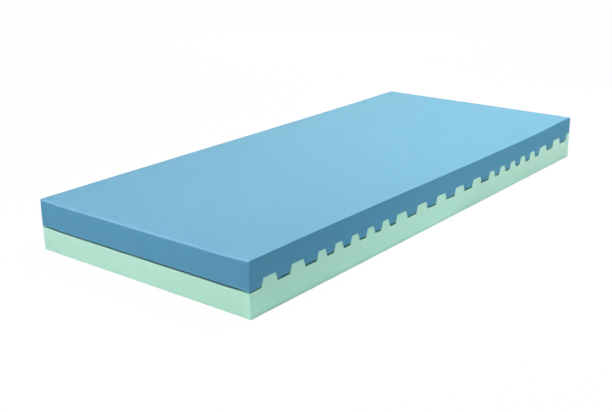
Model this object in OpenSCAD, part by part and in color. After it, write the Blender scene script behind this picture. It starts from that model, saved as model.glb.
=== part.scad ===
// Two-layer foam core of a pressure relief mattress.
// A softer top layer lies on a firmer base layer. Tapered ribs run across the width of the
// base and sit in matching grooves of the top. The teeth between them stop short of the
// groove floors, which leaves air channels from one long side to the other.
// Origin: middle of the underside. +X along the length, +Y across, +Z up.

/* [Core] */
// Length of the core, to suit the deck of a ward bed
core_l = 1980; // [1200:10:2200]
// Width of the core
core_w = 880; // [500:10:1200]
// Foam below the groove floors of the base layer
base_slab_h = 77; // [40:1:120]
// Foam above the rib crests, in the top layer
top_slab_h = 66; // [30:1:120]
// Radius on the cut edges of the block
edge_r = 3; // [1:0.5:10]

/* [Ribs] */
// Height of the ribs on the base layer
rib_h = 27; // [16:1:40]
// Lean of a rib's flanks from upright, in degrees
flank_angle = 19; // [5:1:25]
// Width of a wide rib at half its height
wide_rib_w = 60; // [45:1:90]
// Width of the groove beside a wide rib at half its height
wide_groove_w = 61; // [45:1:90]
// Width of a narrow rib at half its height
narrow_rib_w = 40; // [35:1:60]
// Width of the groove beside a narrow rib at half its height
narrow_groove_w = 41; // [35:1:60]
// Radius in the corners of ribs and grooves
corner_r = 2.5; // [1:0.5:5]

/* [Zones along the length] */
// Tooth of the top layer that starts the row at the -X end, at half height
end_tooth_w = 51; // [35:1:90]
// Wide ribs next to the -X end
first_wide_count = 2; // [1:1:5]
// Narrow ribs that follow them
first_narrow_count = 5; // [1:1:7]
// Wide ribs under the middle
middle_wide_count = 5; // [1:1:7]
// Narrow ribs past the middle; wide ribs fill the rest, up to the +X end
second_narrow_count = 5; // [1:1:7]

/* [Fit] */
// Height of the air channel under each tooth of the top layer
channel_h = 7; // [2:0.5:10]
// Gap that the cutting wire leaves at each flank, between a rib and the tooth beside it
flank_gap = 0.8; // [0.3:0.1:1.5]

/* [Hidden] */

corner_steps = 4;
cut_margin = 20;

floor_z = base_slab_h;
crest_z = floor_z + rib_h;
mid_z = floor_z + rib_h / 2;
tip_z = floor_z + channel_h;
core_h = crest_z + top_slab_h;

WIDE = [wide_rib_w, wide_groove_w];
NARROW = [narrow_rib_w, narrow_groove_w];

// Ribs in order from the -X end, up to the last zone: [rib width, groove width] for each
first_zones = [
    for (zone = [
        [first_wide_count, WIDE],
        [first_narrow_count, NARROW],
        [middle_wide_count, WIDE],
        [second_narrow_count, NARROW],
    ])
    for (i = [1:zone[0]]) zone[1]
];
last_zone_x = end_tooth_w + row_length(first_zones);
last_count = max(1, ceil((core_l - last_zone_x) / row_length([WIDE])));
rib_row = concat(first_zones, [for (i = [1:last_count]) WIDE]);

// Each rib as [start, width] at half height, measured from the -X end
ribs = [
    for (i = 0, x = end_tooth_w; i < len(rib_row); x = x + row_length([rib_row[i]]), i = i + 1)
    if (x < core_l) [x, rib_row[i][0]]
];

// Length of a row of ribs with their grooves
function row_length(row, i = 0) =
    i == len(row) ? 0 : row[i][0] + row[i][1] + row_length(row, i + 1);

function unit(v) = v / norm(v);

// Arc that rounds the corner at b between a and c, no longer than half of either side
function corner_arc(a, b, c, r) =
    let (
        u = unit(a - b),
        v = unit(c - b),
        half = acos(u * v) / 2,
        fit = min(r, tan(half) * min(norm(a - b), norm(c - b)) / 2),
        centre = b + unit(u + v) * fit / sin(half),
        from = b + u * fit / tan(half) - centre,
        start = atan2(from[1], from[0]),
        turn = sign(u[1] * v[0] - u[0] * v[1]),
        sweep = turn * (180 - 2 * half)
    )
    [
        for (k = [0:corner_steps])
        let (t = start + sweep * k / corner_steps)
        centre + fit * [cos(t), sin(t)]
    ];

// Open line with every corner but its two ends rounded
function rounded_line(points, r) = [
    points[0],
    for (i = [1:len(points) - 2]) each corner_arc(points[i - 1], points[i], points[i + 1], r),
    points[len(points) - 1],
];

function rounded_rectangle(size, r) =
    let (corners = [[0, 0], [size[0], 0], size, [0, size[1]]])
    [for (i = [0:3]) each corner_arc(corners[(i + 3) % 4], corners[i], corners[(i + 1) % 4], r)];

// Line over one rib: near foot, crest, crest, far foot, with each flank moved out by gap
function rib_line(rib, foot_z, gap) =
    let (
        lean = tan(flank_angle),
        near_x = rib[0] - gap,
        far_x = rib[0] + rib[1] + gap,
        up = (crest_z - mid_z) * lean,
        down = (mid_z - foot_z) * lean
    )
    [
        [near_x - down, foot_z],
        [near_x + up, crest_z],
        [far_x - up, crest_z],
        [far_x + down, foot_z],
    ];

// Line of the cut along the whole row, past both ends of the block, with its feet at foot_z
function cut_line(foot_z, gap) =
    let (
        row = [for (rib = ribs) each rib_line(rib, foot_z, gap)],
        row_end = max(core_l, row[len(row) - 1][0])
    )
    rounded_line(
        concat([[-cut_margin, foot_z]], row, [[row_end + cut_margin, foot_z]]),
        corner_r
    );

// Region on one side of a cut line, out to the height edge_z
function cut_region(line, edge_z) =
    concat(line, [[line[len(line) - 1][0], edge_z], [line[0][0], edge_z]]);

// Outline in X and Z, drawn from the -X end, made solid across a width
module across(width, outline) {
    rotate([90, 0, 0])
        translate([-core_l / 2, 0, -width / 2])
            linear_extrude(width)
                polygon(outline);
}

// Block of the whole core with its twelve edges rounded
module core_block() {
    intersection() {
        across(core_w, rounded_rectangle([core_l, core_h], edge_r));
        rotate([90, 0, 90])
            translate([-core_w / 2, 0, -core_l / 2])
                linear_extrude(core_l)
                    polygon(rounded_rectangle([core_w, core_h], edge_r));
        translate([-core_l / 2, -core_w / 2])
            linear_extrude(core_h)
                polygon(rounded_rectangle([core_l, core_w], edge_r));
    }
}

// The part of the block on one side of the cut
module cut_from_block(region) {
    intersection() {
        core_block();
        across(core_w + 2 * cut_margin, region);
    }
}

// Firmer layer that lies on the bed deck and carries the ribs
module base_layer() {
    color("#a6dcc8")
        cut_from_block(cut_region(cut_line(floor_z, 0), -cut_margin));
}

// Softer layer that the patient lies on, with a tooth for every groove
module top_layer() {
    color("#5c9fc6")
        cut_from_block(cut_region(cut_line(tip_z, flank_gap), core_h + cut_margin));
}

base_layer();
top_layer();
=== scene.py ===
# %% [markdown]
# # Foam core of a pressure relief mattress
#
# This is the bare core of a ward mattress, two layers of open-cell foam without a cover. A firm mint
# base carries ribs that run across the bed. A soft blue top lies on the ribs, and its teeth hang into
# the grooves between them and stop short of the floor, which leaves air channels from side to side.
#
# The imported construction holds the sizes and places. Its solids could be painted as they are, but
# their faces are dead flat and their cut edges knife sharp, so each layer is made again here, a little
# softer, in the space that its solid holds.

# %% Load the construction
import math

import bmesh
import bpy
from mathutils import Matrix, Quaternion, Vector


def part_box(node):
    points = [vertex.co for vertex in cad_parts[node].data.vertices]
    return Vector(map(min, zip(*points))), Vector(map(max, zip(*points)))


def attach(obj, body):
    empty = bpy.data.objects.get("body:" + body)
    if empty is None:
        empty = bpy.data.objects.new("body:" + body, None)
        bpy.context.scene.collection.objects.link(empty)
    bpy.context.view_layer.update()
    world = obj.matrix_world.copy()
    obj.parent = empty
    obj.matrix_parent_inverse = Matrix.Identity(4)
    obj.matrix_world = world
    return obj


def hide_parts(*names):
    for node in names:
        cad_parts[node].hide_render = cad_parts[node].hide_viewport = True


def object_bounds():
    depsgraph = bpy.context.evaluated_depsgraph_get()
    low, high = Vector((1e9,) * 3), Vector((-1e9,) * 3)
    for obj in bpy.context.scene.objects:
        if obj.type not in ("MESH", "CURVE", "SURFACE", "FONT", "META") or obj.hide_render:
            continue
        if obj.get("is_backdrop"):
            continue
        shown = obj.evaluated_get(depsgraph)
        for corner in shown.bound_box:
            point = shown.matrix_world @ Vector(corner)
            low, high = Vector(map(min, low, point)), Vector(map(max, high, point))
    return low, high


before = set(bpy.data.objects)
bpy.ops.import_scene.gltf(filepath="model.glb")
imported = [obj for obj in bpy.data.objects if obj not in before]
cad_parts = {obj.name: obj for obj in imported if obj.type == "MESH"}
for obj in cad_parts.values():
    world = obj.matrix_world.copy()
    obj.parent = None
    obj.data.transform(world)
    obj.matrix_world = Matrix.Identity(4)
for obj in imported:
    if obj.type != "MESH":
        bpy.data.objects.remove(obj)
cad_low, cad_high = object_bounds()
base_low, base_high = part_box("base_layer")
top_low, top_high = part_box("top_layer")
mm = 0.001
core_length, core_width, core_height = cad_high - cad_low
print("core in mm:", round(core_length / mm), round(core_width / mm), round(core_height / mm))

# %% [markdown]
# ## Adding nodes
#
# Shapes and finishes are both made with node trees. Written out in full, each node takes four or five
# lines of Python, so one small function does it: it adds a node, sets its options and then fills its
# inputs, by a link where it is given a node or a socket, and by a value where it is given a number.

# %% One way to add a node
def add(tree, kind, inputs=None, **options):
    """Add a node. An input goes by its name, or by its number where several share a name."""
    node = tree.nodes.new(kind)
    for name, value in options.items():
        setattr(node, name, value)
    for key, given in (inputs or {}).items():
        usable = [socket for socket in node.inputs if socket.enabled]
        socket = usable[key] if isinstance(key, int) else next(s for s in usable if s.name == key)
        for source in given if isinstance(given, list) else [given]:
            if isinstance(source, bpy.types.Node):
                source = next(output for output in source.outputs if output.enabled)
            if isinstance(source, bpy.types.NodeSocket):
                tree.links.new(source, socket)
            else:
                socket.default_value = source
    return node


def linear(hex_colour):
    """The colour that a screen shows for an sRGB hex value, as the linear RGBA that shaders use."""
    shares = [int(hex_colour[i:i + 2], 16) / 255 for i in (1, 3, 5)]
    return (*[s / 12.92 if s <= 0.04045 else ((s + 0.055) / 1.055) ** 2.4 for s in shares], 1.0)


# %% [markdown]
# ## Camera
#
# The picture was taken from beyond one corner of the core, a little above it. A camera could be turned
# by eye until it looks right, but seven corners of the block show, and they fix it: its place, aim, roll
# and focal length are those that put the corners on their pixels.

# %% Camera beyond the near corner
picture_width_px = 612
focal_length_px = 980.5
camera_place = Vector((-2.7504, -2.0528, 1.1253))
camera_aim = Vector((-0.3506, -0.1195, 0.084))
camera_roll = math.radians(-0.829)

camera = bpy.data.objects.new("camera", bpy.data.cameras.new("camera"))
camera.data.lens = camera.data.sensor_width * focal_length_px / picture_width_px
camera.location = camera_place
camera.rotation_mode = "QUATERNION"
camera_look = (camera_aim - camera_place).to_track_quat("-Z", "Y")
camera.rotation_quaternion = camera_look @ Quaternion((0.0, 0.0, 1.0), camera_roll)
bpy.context.scene.collection.objects.link(camera)
bpy.context.scene.camera = camera
print("camera lens in mm:", round(camera.data.lens, 2))

# %% [markdown]
# ## Light, floor and background
#
# A product shot like this one is lit by softboxes. The largest hangs over the far half, so the top grows
# paler away from the camera. One stands high before the near end and one hangs beside the ribbed side,
# and each has a weak one under it that looks a little way into the seams. Those beside the core are
# cooler, like daylight. A faint strip on the floor along the ribbed side stands for the light that a
# white studio floor throws back up, which keeps the lower edge of the base pale. The last one stands
# behind, for the two sides that the picture doesn't show. Small lamps would give hard shadows and hot
# spots, which matt foam doesn't have. The floor and the sky are white to the camera, and the floor lets
# a little of its own shading through, so that the core keeps its shadow.

# %% Softboxes
softboxes = {
    "overhead": {
        "place": (1.05, -0.35, 2.45), "aim": (0.9, -0.3, 0.0), "size": (2.1, 1.5),
        "watts": 62, "colour": (1.0, 0.95, 0.91),
    },
    "near_end": {
        "place": (-2.25, 0.25, 2.15), "aim": (-0.95, 0.0, 0.1), "size": (1.7, 1.0),
        "watts": 50.6, "colour": (0.91, 0.91, 1.0),
    },
    "near_end_low": {
        "place": (-3.2, -0.2, 0.6), "aim": (-0.99, 0.0, 0.08), "size": (1.6, 0.8),
        "watts": 6, "colour": (1.0, 1.0, 1.0),
    },
    "near_side": {
        "place": (0.4, -1.05, 1.9), "aim": (0.4, -1.0, 0.0), "size": (2.8, 0.7),
        "watts": 13.5, "colour": (0.85, 0.94, 1.0),
    },
    "near_side_low": {
        "place": (0.1, -2.6, 0.7), "aim": (0.1, -0.44, 0.08), "size": (1.4, 0.6),
        "watts": 6.5, "colour": (0.27, 0.67, 1.0),
    },
    "near_side_strip": {
        "place": (-0.48, -0.472, 0.004), "aim": (-0.48, -0.422, 1.0), "size": (1.2, 0.05),
        "watts": 0.075, "colour": (0.7, 0.88, 1.0),
    },
    "behind": {
        "place": (3.2, 2.6, 1.6), "aim": (0.2, 0.0, 0.1), "size": (2.4, 1.6),
        "watts": 60, "colour": (1.0, 1.0, 1.0),
    },
}
for name, box in softboxes.items():
    lamp = bpy.data.lights.new(name, "AREA")
    lamp.shape = "RECTANGLE"
    lamp.size, lamp.size_y = box["size"]
    lamp.energy = box["watts"]
    lamp.color = box["colour"]
    softbox = bpy.data.objects.new(name, lamp)
    softbox.location = box["place"]
    softbox.visible_camera = False
    aim = Vector(box["aim"]) - softbox.location
    softbox.rotation_euler = aim.to_track_quat("-Z", "Y").to_euler()
    bpy.context.scene.collection.objects.link(softbox)
print("softboxes:", ", ".join(softboxes))

# %% Sky and floor
floor_side = 60.0
floor_whiteness = 0.98

bpy.context.scene.view_settings.view_transform = "Standard"

world = bpy.data.worlds.new("white_studio")
bpy.context.scene.world = world
world.use_nodes = True
floor_paint = bpy.data.materials.new("white_studio_floor")
floor_paint.use_nodes = True

in_view = {}
for tree in (world.node_tree, floor_paint.node_tree):
    tree.nodes.clear()
    ray = add(tree, "ShaderNodeLightPath").outputs
    mirrored = add(
        tree, "ShaderNodeMath", {0: ray["Is Glossy Ray"], 1: ray["Is Transmission Ray"]}, operation="ADD"
    )
    in_view[tree] = add(
        tree, "ShaderNodeMath", {0: ray["Is Camera Ray"], 1: mirrored}, operation="ADD", use_clamp=True
    )

tree = world.node_tree
background = add(tree, "ShaderNodeBackground", {"Color": linear("#ffffff"), "Strength": in_view[tree]})
add(tree, "ShaderNodeOutputWorld", {"Surface": background})

tree = floor_paint.node_tree
share = add(tree, "ShaderNodeMath", {0: in_view[tree], 1: floor_whiteness}, operation="MULTIPLY")
paint = add(tree, "ShaderNodeBsdfDiffuse", {"Color": linear("#f8f8f8")})
white = add(tree, "ShaderNodeEmission", {"Color": linear("#ffffff"), "Strength": 1.0})
shown = add(tree, "ShaderNodeMixShader", {0: share, 1: paint, 2: white})
add(tree, "ShaderNodeOutputMaterial", {"Surface": shown})

floor_mesh = bpy.data.meshes.new("floor")
half = floor_side / 2
floor_corners = [(-half, -half, 0), (half, -half, 0), (half, half, 0), (-half, half, 0)]
floor_mesh.from_pydata(floor_corners, [], [(0, 1, 2, 3)])
floor_mesh.materials.append(floor_paint)
floor = bpy.data.objects.new("floor", floor_mesh)
bpy.context.scene.collection.objects.link(floor)
floor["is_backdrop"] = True
print("floor side in m:", floor_side)

# %% [markdown]
# ## The foam
#
# Both layers are open-cell polyurethane foam, cut from a block and dyed. The blade opens the bubbles
# and leaves a matt face of fine pits between struts, and the finish paints shade into the pits and light
# onto the struts. Light soaks a few millimetres into it and comes out again beside, further in the soft
# blue foam than in the firm one. At low angles the struts throw back a pale haze, and on the firm foam
# their cut ends act like a nap. The dye is a little uneven, a few larger bubbles leave pinholes with
# painted shade in them, and the blade leaves faint lines along its way. The end edges are painted paler,
# partly as wear and partly as a painted highlight where their rounding catches the light. A plain colour
# would look like painted wood. One function makes both foams, because they differ in colour, nap and
# depth, and not in kind.

# %% Open-cell polyurethane foam
cell_size = 2.2 * mm  # real cells are about 0.6 mm, drawn coarser so that they show
strut_share = 0.02  # of a cell, from the middle of its wall
pit_share = 0.3
pinhole_spacing = 26 * mm
pinhole_width = 2.4 * mm
pinhole_floor = 0.3 * pinhole_width / pinhole_spacing
pinhole_rim = 0.6 * pinhole_width / pinhole_spacing
dye_cloud_sizes = (14 * mm, 90 * mm)
blade_line_spacing = 6 * mm
blade_line_length = 600 * mm
# Paleness on the struts is painted light and darkness in the pinholes is painted shade; the clouds and blade
# lines are the dye's and the blade's own.
strut_painted_light = 0.2
cloud_paleness = 0.35
blade_line_paleness = 0.25
pinhole_painted_shade = -0.6
pit_depth = 0.5 * mm
pit_strength = 0.5
pit_roughness = 0.95
strut_roughness = 0.85
nap_roughness = 0.8
polyurethane_ior = 1.5
surface_haze = 0.8


def open_cell_foam(name, nap, light_reach, pit_shade_hex, strut_light_hex, worn_highlit_edge_hex):
    """Dyed foam: painted shade in pits, light on struts; end edges paler as wear and painted highlight."""
    foam = bpy.data.materials.new(name)
    foam.use_nodes = True
    tree = foam.node_tree
    tree.nodes.clear()
    place = add(tree, "ShaderNodeTexCoord").outputs["Object"]

    wall = add(
        tree, "ShaderNodeTexVoronoi", {"Vector": place, "Scale": 1 / cell_size}, feature="DISTANCE_TO_EDGE"
    )
    struts = add(
        tree, "ShaderNodeMapRange", {0: wall, 1: strut_share, 2: pit_share, 3: 1.0, 4: 0.0},
        interpolation_type="SMOOTHSTEP",
    )
    bubble = add(tree, "ShaderNodeTexVoronoi", {"Vector": place, "Scale": 1 / pinhole_spacing})
    pinholes = add(
        tree, "ShaderNodeMapRange", {0: bubble, 1: pinhole_floor, 2: pinhole_rim, 3: 1.0, 4: 0.0},
        interpolation_type="SMOOTHSTEP",
    )
    clouds = [
        add(tree, "ShaderNodeTexNoise", {"Vector": place, "Scale": 1 / size, "Detail": 3.0})
        for size in dye_cloud_sizes
    ]
    along_blade = add(
        tree, "ShaderNodeMapping",
        {"Vector": place, "Scale": (1 / blade_line_length, 1 / blade_line_spacing, 1 / blade_line_spacing)},
    )
    blade_lines = add(tree, "ShaderNodeTexNoise", {"Vector": along_blade, "Scale": 1.0, "Detail": 2.0})

    # The tone holds painted shade in the pits and pinholes, painted light on the struts, and the real dye
    # clouds and blade lines.
    shade_and_dye_tone = 0.0
    for pattern, share in (
        (struts, strut_painted_light), (clouds[0], cloud_paleness), (clouds[1], cloud_paleness),
        (blade_lines, blade_line_paleness), (pinholes, pinhole_painted_shade),
    ):
        shade_and_dye_tone = add(
            tree, "ShaderNodeMath", {0: pattern, 1: share, 2: shade_and_dye_tone}, operation="MULTIPLY_ADD"
        )
    # Mixes the pit colour, which carries painted shade, with the strut colour, which carries painted light.
    shaded_dye = add(
        tree, "ShaderNodeMix", {"Factor": shade_and_dye_tone, "A": linear(pit_shade_hex), "B": linear(strut_light_hex)},
        data_type="RGBA",
    )
    # Paler along the rounded end edges: partly wear, partly a painted highlight.
    edge = add(tree, "ShaderNodeAttribute", attribute_name="cut_edge").outputs["Fac"]
    colour = add(
        tree, "ShaderNodeMix", {"Factor": edge, "A": shaded_dye, "B": linear(worn_highlit_edge_hex)}, data_type="RGBA"
    )
    roughness = add(
        tree, "ShaderNodeMapRange", {0: shade_and_dye_tone, 1: 0.0, 2: 1.0, 3: pit_roughness, 4: strut_roughness}
    )
    relief = add(tree, "ShaderNodeMath", {0: struts, 1: pinholes}, operation="SUBTRACT")
    bump = add(tree, "ShaderNodeBump", {"Height": relief, "Strength": pit_strength, "Distance": pit_depth})
    surface = add(
        tree, "ShaderNodeBsdfPrincipled",
        {"Base Color": colour, "Roughness": roughness, "Normal": bump, "IOR": polyurethane_ior,
         "Specular IOR Level": surface_haze, "Sheen Weight": nap, "Sheen Roughness": nap_roughness,
         "Subsurface Weight": 1.0, "Subsurface Radius": (1.0, 1.0, 1.0), "Subsurface Scale": light_reach},
    )
    add(tree, "ShaderNodeOutputMaterial", {"Surface": surface})
    print("foam:", name, "with", len(tree.nodes), "nodes")
    return foam


# The last colour of each foam is its paler end-edge colour, partly wear and partly a painted highlight.
# Firm foam: stiff cut ends catch the light, so it looks chalky and a little furred.
base_foam = open_cell_foam("firm_polyurethane_foam_mint", 0.45, 3 * mm, "#a9e5c3", "#b4efce", "#bbf4d7")
# Soft foam: light goes further in before it comes out again, so it looks smoother.
top_foam = open_cell_foam("soft_polyurethane_foam_blue", 0.0, 8 * mm, "#468fac", "#539bb8", "#7db9d7")

# %% [markdown]
# ## The toothed cut
#
# A contour cutter stretches a blade across the block and steers it along a toothed line, and the two
# halves come apart as a base with ribs and a top with teeth. The layers could be modelled as boxes
# with ribs set on them, but then every rib has seams. The node tree below does what the cutter does:
# it lays out the line rib by rib, rounds its corners, sweeps the blade along it, and then fills the
# foam from that sheet to the layer's flat face. Both layers use it, with different heights.

# %% Sizes of the cut
lean = math.tan(math.radians(19))
rib_height = 27 * mm
crest = base_high.z
floor_height = crest - rib_height
half_height = crest - rib_height / 2
flank_gap = 0.8 * mm
corner_radius = 2.5 * mm
end_tooth = 51 * mm
wide = {"rib": 60 * mm, "groove": 61 * mm}
narrow = {"rib": 40 * mm, "groove": 41 * mm}
zones = [(wide, 2), (narrow, 5), (wide, 5), (narrow, 5), (wide, 3)]

zone_sizes = {}
start = end_tooth
for number, (kind, ribs) in enumerate(zones, 1):
    pitch = kind["rib"] + kind["groove"]
    zone_sizes |= {
        f"Zone {number} start": start,
        f"Zone {number} rib": kind["rib"],
        f"Zone {number} pitch": pitch,
        f"Zone {number} ribs": ribs,
    }
    start += ribs * pitch
print("ribs:", sum(ribs for kind, ribs in zones))

# %% Tree for one toothed layer
layer_tree = bpy.data.node_groups.new("toothed_foam_layer", "GeometryNodeTree")
layer_lengths = [
    "Length", "Width", "Flat face", "Crest", "Foot", "Half height", "Lean", "Flank gap", "Corner radius",
    "End edge softness", "Side edge softness", "Cut edge softness",
]
layer_counts = ["Corner steps", "Blade steps"]
for name in layer_lengths + layer_counts + list(zone_sizes):
    is_count = name in layer_counts or name.endswith("ribs")
    layer_tree.interface.new_socket(
        name, in_out="INPUT", socket_type="NodeSocketInt" if is_count else "NodeSocketFloat"
    )
layer_tree.interface.new_socket("Layer", in_out="OUTPUT", socket_type="NodeSocketGeometry")

tree = layer_tree
size = add(tree, "NodeGroupInput").outputs
half_length = add(tree, "ShaderNodeMath", {0: size["Length"], 1: 0.5}, operation="MULTIPLY")
near_end = add(tree, "ShaderNodeMath", {0: half_length, 1: -1.0}, operation="MULTIPLY")
rise = add(tree, "ShaderNodeMath", {0: size["Crest"], 1: size["Foot"]}, operation="SUBTRACT")
middle = add(tree, "ShaderNodeMath", {0: rise, 1: 0.5, 2: size["Foot"]}, operation="MULTIPLY_ADD")
below = add(tree, "ShaderNodeMath", {0: size["Half height"], 1: size["Foot"]}, operation="SUBTRACT")
above = add(tree, "ShaderNodeMath", {0: size["Half height"], 1: size["Crest"]}, operation="SUBTRACT")
foot_out = add(
    tree, "ShaderNodeMath", {0: below, 1: size["Lean"], 2: size["Flank gap"]}, operation="MULTIPLY_ADD"
)
crest_out = add(
    tree, "ShaderNodeMath", {0: above, 1: size["Lean"], 2: size["Flank gap"]}, operation="MULTIPLY_ADD"
)

upright = (math.radians(90), 0.0, 0.0)
zone_rows = []
for number in range(1, len(zones) + 1):
    rib = size[f"Zone {number} rib"]
    foot_width = add(tree, "ShaderNodeMath", {0: foot_out, 1: 2.0, 2: rib}, operation="MULTIPLY_ADD")
    crest_width = add(tree, "ShaderNodeMath", {0: crest_out, 1: 2.0, 2: rib}, operation="MULTIPLY_ADD")
    outline = add(
        tree, "GeometryNodeCurvePrimitiveQuadrilateral",
        {"Height": rise, "Bottom Width": foot_width, "Top Width": crest_width, "Offset": 0.0},
        mode="TRAPEZOID",
    )
    first_edge = add(
        tree, "ShaderNodeMath", {0: near_end, 1: size[f"Zone {number} start"]}, operation="ADD"
    )
    first_middle = add(tree, "ShaderNodeMath", {0: rib, 1: 0.5, 2: first_edge}, operation="MULTIPLY_ADD")
    row_start = add(tree, "ShaderNodeCombineXYZ", {"X": first_middle, "Z": middle})
    row_step = add(tree, "ShaderNodeCombineXYZ", {"X": size[f"Zone {number} pitch"]})
    row = add(
        tree, "GeometryNodeMeshLine",
        {"Count": size[f"Zone {number} ribs"], "Start Location": row_start, "Offset": row_step},
    )
    zone_rows.append(add(
        tree, "GeometryNodeInstanceOnPoints", {"Points": row, "Instance": outline, "Rotation": upright}
    ))
print("layer tree so far:", len(tree.nodes), "nodes")

# %% Line of the cut
along = add(tree, "ShaderNodeSeparateXYZ", {0: add(tree, "GeometryNodeInputPosition")}).outputs["X"]
rows = add(tree, "GeometryNodeJoinGeometry", {"Geometry": zone_rows})
outlines = add(tree, "GeometryNodeRealizeInstances", {"Geometry": rows})
corners = add(tree, "GeometryNodeCurveToPoints", {"Curve": outlines}, mode="EVALUATED")
past_end = add(tree, "FunctionNodeCompare", {"A": along, "B": half_length}, operation="GREATER_THAN")
corners = add(
    tree, "GeometryNodeDeleteGeometry", {"Geometry": corners, "Selection": past_end}, domain="POINT"
)

near_point = add(tree, "ShaderNodeCombineXYZ", {"X": near_end, "Z": size["Foot"]})
far_point = add(tree, "ShaderNodeCombineXYZ", {"X": half_length, "Z": size["Crest"]})
line_ends = [add(tree, "GeometryNodePoints", {"Position": point}) for point in (near_point, far_point)]
points = add(tree, "GeometryNodeJoinGeometry", {"Geometry": [corners] + line_ends})
cut_line = add(tree, "GeometryNodePointsToCurves", {"Points": points, "Weight": along})
rounded_line = add(
    tree, "GeometryNodeFilletCurve",
    {"Curve": cut_line, "Count": size["Corner steps"], "Radius": size["Corner radius"], "Limit Radius": True},
    mode="POLY",
)

# %% Sweep of the blade, and the foam behind it
weld_distance = 0.001 * mm

half_width = add(tree, "ShaderNodeMath", {0: size["Width"], 1: 0.5}, operation="MULTIPLY")
blade_start = add(tree, "ShaderNodeCombineXYZ", {"X": half_width})
blade_end = add(tree, "ShaderNodeVectorMath", {"Vector": blade_start, "Scale": -1.0}, operation="SCALE")
blade = add(tree, "GeometryNodeCurvePrimitiveLine", {"Start": blade_start, "End": blade_end})
blade_points = add(tree, "ShaderNodeMath", {0: size["Blade steps"], 1: 1.0}, operation="ADD")
blade = add(tree, "GeometryNodeResampleCurve", {"Curve": blade, "Count": blade_points})
sheet = add(tree, "GeometryNodeCurveToMesh", {"Curve": rounded_line, "Profile Curve": blade})

grown = add(tree, "GeometryNodeExtrudeMesh", {"Mesh": sheet, "Offset Scale": 0.0, "Individual": False})
spot = add(tree, "ShaderNodeSeparateXYZ", {0: add(tree, "GeometryNodeInputPosition")}).outputs
on_flat_face = add(tree, "ShaderNodeCombineXYZ", {"X": spot["X"], "Y": spot["Y"], "Z": size["Flat face"]})
filled = add(
    tree, "GeometryNodeSetPosition",
    {"Geometry": grown, "Selection": grown.outputs["Top"], "Position": on_flat_face},
)
lies_below = add(
    tree, "FunctionNodeCompare", {"A": size["Flat face"], "B": size["Crest"]}, operation="LESS_THAN"
)
lies_above = add(
    tree, "FunctionNodeCompare", {"A": size["Flat face"], "B": size["Crest"]}, operation="GREATER_THAN"
)
filled = add(tree, "GeometryNodeFlipFaces", {"Mesh": filled, "Selection": lies_above})
sheet = add(tree, "GeometryNodeFlipFaces", {"Mesh": sheet, "Selection": lies_below})
halves = add(tree, "GeometryNodeJoinGeometry", {"Geometry": [filled, sheet]})
closed = add(tree, "GeometryNodeMergeByDistance", {"Geometry": halves, "Distance": weld_distance})
print("layer tree:", len(tree.nodes), "nodes")

# %% [markdown]
# ### Which edges are rounded
#
# The edges of a foam block aren't all alike. The top layer's two end edges are worn round by hands that
# pull the core along the bed, the long edges and the corners are fairly sharp, and the toothed cut came
# last, so its edges are sharpest. A Bevel modifier can't tell one from the other by angle, since all of
# them are square, so the tree writes a weight on each edge, from where it lies and which way it runs.

# %% Bevel weights
square_from = math.radians(60)
least_length = 1 * mm

edge_angle = add(tree, "GeometryNodeInputMeshEdgeAngle").outputs["Unsigned Angle"]
is_square = add(tree, "FunctionNodeCompare", {"A": edge_angle, "B": square_from}, operation="GREATER_THAN")
edge_ends = add(tree, "GeometryNodeInputMeshEdgeVertices").outputs
off_flat, across = [], []
for end in ("Position 1", "Position 2"):
    place = add(tree, "ShaderNodeSeparateXYZ", {0: edge_ends[end]}).outputs
    off = add(tree, "ShaderNodeMath", {0: place["Z"], 1: size["Flat face"]}, operation="SUBTRACT")
    off_flat.append(add(tree, "ShaderNodeMath", {0: off}, operation="ABSOLUTE"))
    across.append(place["Y"])
nearer = add(tree, "ShaderNodeMath", {0: off_flat[0], 1: off_flat[1]}, operation="MINIMUM")
on_cut = add(tree, "FunctionNodeCompare", {"A": nearer, "B": least_length}, operation="GREATER_THAN")
reach = add(tree, "ShaderNodeMath", {0: across[0], 1: across[1]}, operation="SUBTRACT")
reach = add(tree, "ShaderNodeMath", {0: reach}, operation="ABSOLUTE")
on_end = add(tree, "FunctionNodeCompare", {"A": reach, "B": least_length}, operation="GREATER_THAN")
softness = add(
    tree, "ShaderNodeMix", {"Factor": on_end, "A": size["Side edge softness"], "B": size["End edge softness"]}
)
softness = add(tree, "ShaderNodeMix", {"Factor": on_cut, "A": softness, "B": size["Cut edge softness"]})
weight = add(tree, "ShaderNodeMath", {0: is_square, 1: softness}, operation="MULTIPLY")
weighted = add(
    tree, "GeometryNodeStoreNamedAttribute",
    {"Geometry": closed, "Name": "bevel_weight_edge", "Value": weight}, data_type="FLOAT", domain="EDGE",
)
smooth = add(tree, "GeometryNodeSetShadeSmooth", {"Geometry": weighted})
add(tree, "NodeGroupOutput", {"Layer": smooth})
print("layer tree:", len(tree.nodes), "nodes")

# %% [markdown]
# ## Foam that has settled
#
# Soft foam never stays as it was cut. Along one side, past the middle, the core has sunk by nearly a
# centimetre, all of it in the base, and at the near end it has sunk a little between its corners. The
# end tooth hangs free on one side, so it has splayed outwards by a few millimetres, and its corners
# hang down until they touch the base. All faces are slightly uneven. Sculpting this by hand would open
# gaps between the layers. Here one field moves both layers by the same rule, so they still touch where
# they touched, and only the end tooth moves on its own. The field grows with height up to the floor of
# the grooves, which keeps the underside flat and the ribs and teeth in shape.
#
# The same tree marks the rounded end edges, which the finish paints paler, partly as wear and partly as
# a painted highlight where the rounding catches the light. The bevel puts its own faces in the second
# material slot, and of these narrow strips only those at the two ends face along the core and up at
# once, so the mark is the product of the two. It fades out where a strip meets the plain face beside it.

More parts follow.
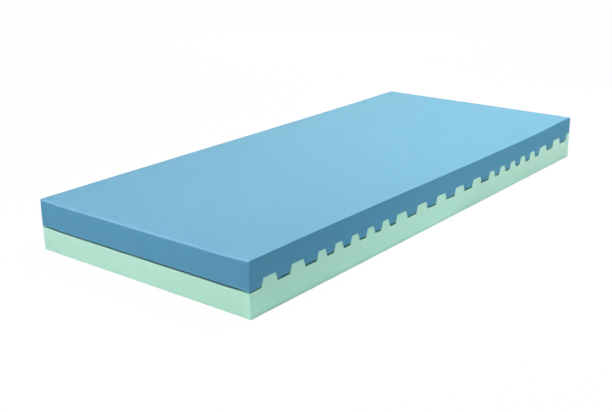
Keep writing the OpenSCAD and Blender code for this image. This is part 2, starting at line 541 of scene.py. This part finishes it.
# %% Tree for settled foam
settle_tree = bpy.data.node_groups.new("settled_foam", "GeometryNodeTree")
settle_tree.interface.new_socket("Layer", in_out="INPUT", socket_type="NodeSocketGeometry")
settle_lengths = [
    "Slab height", "Crest", "Half width", "Near end", "Far end", "Sag", "Sag at far end", "Sag starts",
    "Sag is full", "Sag eases", "Far side share", "End sag", "End sag reach", "Firm rim", "Corner droop",
    "Corner reach", "Splay", "Splay at far side", "Splay reach", "Rise with splay", "Height", "Unevenness",
    "Uneven stretch",
]
for name in settle_lengths:
    settle_tree.interface.new_socket(name, in_out="INPUT", socket_type="NodeSocketFloat")
settle_tree.interface.new_socket("Foam", in_out="INPUT", socket_type="NodeSocketMaterial")
settle_tree.interface.new_socket("Layer", in_out="OUTPUT", socket_type="NodeSocketGeometry")

tree = settle_tree
size = add(tree, "NodeGroupInput").outputs
position = add(tree, "GeometryNodeInputPosition")
spot = add(tree, "ShaderNodeSeparateXYZ", {0: position}).outputs
from_end = add(tree, "ShaderNodeMath", {0: spot["X"], 1: size["Near end"]}, operation="SUBTRACT")
from_middle = add(tree, "ShaderNodeMath", {0: spot["Y"]}, operation="ABSOLUTE")
from_side = add(tree, "ShaderNodeMath", {0: size["Half width"], 1: from_middle}, operation="SUBTRACT")
near_side = add(tree, "ShaderNodeMath", {0: size["Half width"], 1: -1.0}, operation="MULTIPLY")

# %% Sag along the length and at the near end
sinking = add(
    tree, "ShaderNodeMapRange",
    {0: spot["X"], 1: size["Sag starts"], 2: size["Sag is full"], 3: 0.0, 4: size["Sag"]},
    interpolation_type="SMOOTHSTEP",
)
recovery = add(tree, "ShaderNodeMath", {0: size["Sag"], 1: size["Sag at far end"]}, operation="SUBTRACT")
rising = add(
    tree, "ShaderNodeMapRange",
    {0: spot["X"], 1: size["Sag eases"], 2: size["Far end"], 3: 0.0, 4: recovery},
    interpolation_type="SMOOTHSTEP",
)
sunk = add(tree, "ShaderNodeMath", {0: sinking, 1: rising}, operation="SUBTRACT")
side_share = add(
    tree, "ShaderNodeMapRange",
    {0: spot["Y"], 1: near_side, 2: size["Half width"], 3: 1.0, 4: size["Far side share"]},
)
sunk = add(tree, "ShaderNodeMath", {0: sunk, 1: side_share}, operation="MULTIPLY")
end_sunk = add(
    tree, "ShaderNodeMapRange",
    {0: from_end, 1: 0.0, 2: size["End sag reach"], 3: size["End sag"], 4: 0.0},
    interpolation_type="SMOOTHSTEP",
)
inside_rim = add(
    tree, "ShaderNodeMapRange", {0: from_side, 1: 0.0, 2: size["Firm rim"], 3: 0.0, 4: 1.0},
    interpolation_type="SMOOTHSTEP",
)
sunk = add(tree, "ShaderNodeMath", {0: end_sunk, 1: inside_rim, 2: sunk}, operation="MULTIPLY_ADD")
height_share = add(
    tree, "ShaderNodeMapRange", {0: spot["Z"], 1: 0.0, 2: size["Slab height"], 3: 0.0, 4: 1.0}
)
sunk = add(tree, "ShaderNodeMath", {0: sunk, 1: height_share}, operation="MULTIPLY")

# %% Hanging corners and uneven faces
corner_way = add(tree, "ShaderNodeCombineXYZ", {"X": from_end, "Y": from_side})
from_corner = add(tree, "ShaderNodeVectorMath", {0: corner_way}, operation="LENGTH").outputs["Value"]
droop = add(
    tree, "ShaderNodeMapRange",
    {0: from_corner, 1: 0.0, 2: size["Corner reach"], 3: size["Corner droop"], 4: 0.0},
    interpolation_type="SMOOTHSTEP",
)
tooth_share = add(
    tree, "ShaderNodeMapRange", {0: spot["Z"], 1: size["Slab height"], 2: size["Crest"], 3: 1.0, 4: 0.0}
)
sunk = add(tree, "ShaderNodeMath", {0: droop, 1: tooth_share, 2: sunk}, operation="MULTIPLY_ADD")
lift = add(tree, "ShaderNodeMath", {0: sunk, 1: -1.0}, operation="MULTIPLY")

near_tip = add(
    tree, "ShaderNodeMapRange", {0: from_end, 1: 0.0, 2: size["Splay reach"], 3: -1.0, 4: 0.0}
)
below_top = add(
    tree, "ShaderNodeMapRange", {0: spot["Z"], 1: size["Slab height"], 2: size["Height"], 3: 1.0, 4: 0.0}
)
splay = add(
    tree, "ShaderNodeMapRange",
    {0: spot["Y"], 1: near_side, 2: size["Half width"], 3: size["Splay"], 4: size["Splay at far side"]},
)
splay = add(tree, "ShaderNodeMath", {0: splay, 1: near_tip}, operation="MULTIPLY")
splay = add(tree, "ShaderNodeMath", {0: splay, 1: below_top}, operation="MULTIPLY")
lift = add(
    tree, "ShaderNodeMath", {0: splay, 1: size["Rise with splay"], 2: lift}, operation="MULTIPLY_ADD"
)
settle = add(tree, "ShaderNodeCombineXYZ", {"X": splay, "Z": lift})

waves_per_metre = add(tree, "ShaderNodeMath", {0: 1.0, 1: size["Uneven stretch"]}, operation="DIVIDE")
waves = add(
    tree, "ShaderNodeTexNoise", {"Vector": position, "Scale": waves_per_metre, "Detail": 1.0}
).outputs["Color"]
centred = add(tree, "ShaderNodeVectorMath", {0: waves, 1: (0.5, 0.5, 0.5)}, operation="SUBTRACT")
reach = add(tree, "ShaderNodeMath", {0: size["Unevenness"], 1: height_share}, operation="MULTIPLY")
uneven = add(tree, "ShaderNodeVectorMath", {"Vector": centred, "Scale": reach}, operation="SCALE")
moved = add(tree, "ShaderNodeVectorMath", {0: settle, 1: uneven}, operation="ADD")
settled = add(tree, "GeometryNodeSetPosition", {"Geometry": size["Layer"], "Offset": moved})

# %% Mark of the rounded edges
slant_share = 2.0  # the product is a half where a strip faces both ways alike, and that counts in full

# The mark paints the end edges paler: partly wear, partly a painted highlight where they face the light.
facing = add(tree, "ShaderNodeSeparateXYZ", {0: add(tree, "GeometryNodeInputNormal")}).outputs
slant = add(tree, "ShaderNodeMath", {0: facing["X"], 1: facing["Z"]}, operation="MULTIPLY")
slant = add(tree, "ShaderNodeMath", {0: slant}, operation="ABSOLUTE")
on_strip = add(tree, "GeometryNodeInputMaterialIndex")
on_edge = add(tree, "ShaderNodeMath", {0: slant, 1: on_strip}, operation="MULTIPLY")
on_edge = add(tree, "ShaderNodeMath", {0: on_edge, 1: slant_share}, operation="MULTIPLY", use_clamp=True)
marked = add(
    tree, "GeometryNodeStoreNamedAttribute",
    {"Geometry": settled, "Name": "cut_edge", "Value": on_edge}, data_type="FLOAT", domain="CORNER",
)
whole = add(tree, "GeometryNodeRealizeInstances", {"Geometry": marked})
dyed = add(tree, "GeometryNodeSetMaterial", {"Geometry": whole, "Material": size["Foam"]})
add(tree, "NodeGroupOutput", {"Layer": dyed})
print("settling tree:", len(tree.nodes), "nodes")

# %% [markdown]
# ## The two layers
#
# Each layer is an empty mesh that three modifiers fill: the toothed cut, a bevel, and the settling.
# Keeping them live would leave the shape to whoever opens the file next, so the result is turned into a
# plain mesh and the modifiers are removed. Then the layer is hung on the empty of the body that it moves
# with, and the solid that it stands for is hidden.

# %% Make the layers
edge_radius = 6 * mm
surfaces = ["faces", "rounded edges"]
cut_sizes = {
    "Length": core_length,
    "Width": core_width,
    "Crest": crest,
    "Half height": half_height,
    "Lean": lean,
    "Corner radius": corner_radius,
    "Side edge softness": 0.2,
    "Cut edge softness": 0.2,
    "Corner steps": 4,
    "Blade steps": 22,
} | zone_sizes
layers = {
    "base_layer": {
        "body": "base", "slot": "base_foam", "foam": base_foam,
        "cut": {"Flat face": base_low.z, "Foot": floor_height, "Flank gap": 0.0, "End edge softness": 0.25},
        "shift": {"Corner droop": 0.0, "Splay": 0.0, "Splay at far side": 0.0},
    },
    "top_layer": {
        "body": "top", "slot": "top_foam", "foam": top_foam,
        "cut": {"Flat face": top_high.z, "Foot": top_low.z, "Flank gap": flank_gap, "End edge softness": 1.0},
        "shift": {"Corner droop": 8 * mm, "Splay": 5 * mm, "Splay at far side": 1 * mm},
    },
}
settling = {
    "Slab height": floor_height,
    "Crest": crest,
    "Half width": core_width / 2,
    "Near end": cad_low.x,
    "Far end": cad_high.x,
    "Sag": 8.9 * mm,
    "Sag at far end": 2.5 * mm,
    "Sag starts": cad_low.x + 0.15,
    "Sag is full": cad_low.x + 1.5,
    "Sag eases": cad_low.x + 1.6,
    "Far side share": 0.25,
    "End sag": 3 * mm,
    "End sag reach": 0.3,
    "Firm rim": 0.08,
    "Corner reach": 0.025,
    "Splay reach": 0.045,
    "Rise with splay": -0.5,
    "Height": core_height,
    "Unevenness": 1.2 * mm,
    "Uneven stretch": 160 * mm,
}


def give(modifier, tree, values):
    """Set a node modifier's inputs, found by name and set by identifier."""
    modifier.node_group = tree
    for item in tree.interface.items_tree:
        if item.in_out == "INPUT" and item.name in values:
            modifier[item.identifier] = values[item.name]


for name, layer in layers.items():
    piece = bpy.data.objects.new(f"{name}_foam", bpy.data.meshes.new(name))
    for _ in surfaces:
        piece.data.materials.append(layer["foam"])
    bpy.context.scene.collection.objects.link(piece)
    give(piece.modifiers.new("toothed cut", "NODES"), layer_tree, cut_sizes | layer["cut"])
    bevel = piece.modifiers.new("rounded edges", "BEVEL")
    bevel.limit_method = "WEIGHT"
    bevel.width = edge_radius
    bevel.segments = 3
    bevel.material = surfaces.index("rounded edges")
    bevel.use_clamp_overlap = False
    bevel.harden_normals = True
    settled_by = settling | layer["shift"] | {"Foam": layer["foam"]}
    give(piece.modifiers.new("settled", "NODES"), settle_tree, settled_by)
    graph = bpy.context.evaluated_depsgraph_get()
    made = bpy.data.meshes.new_from_object(piece.evaluated_get(graph), depsgraph=graph)
    piece.modifiers.clear()
    piece.data = made

    shell = bmesh.new()
    shell.from_mesh(made)
    open_edges = sum(not edge.is_manifold for edge in shell.edges)
    volume = shell.calc_volume(signed=True)
    shell.free()
    print(name, "faces:", len(made.polygons), "open edges:", open_edges, "litres:", round(volume * 1000, 1))

    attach(piece, layer["body"])
    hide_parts(name)

# %% [markdown]
# ## Size against the construction
#
# Settled foam stands a little proud of its solid. How far what was made here grows past the box of the
# construction is printed.

visual_low, visual_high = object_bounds()
growth = (visual_high - visual_low) - (cad_high - cad_low)
print("grown past the construction in mm:", [round(side / mm, 2) for side in growth])
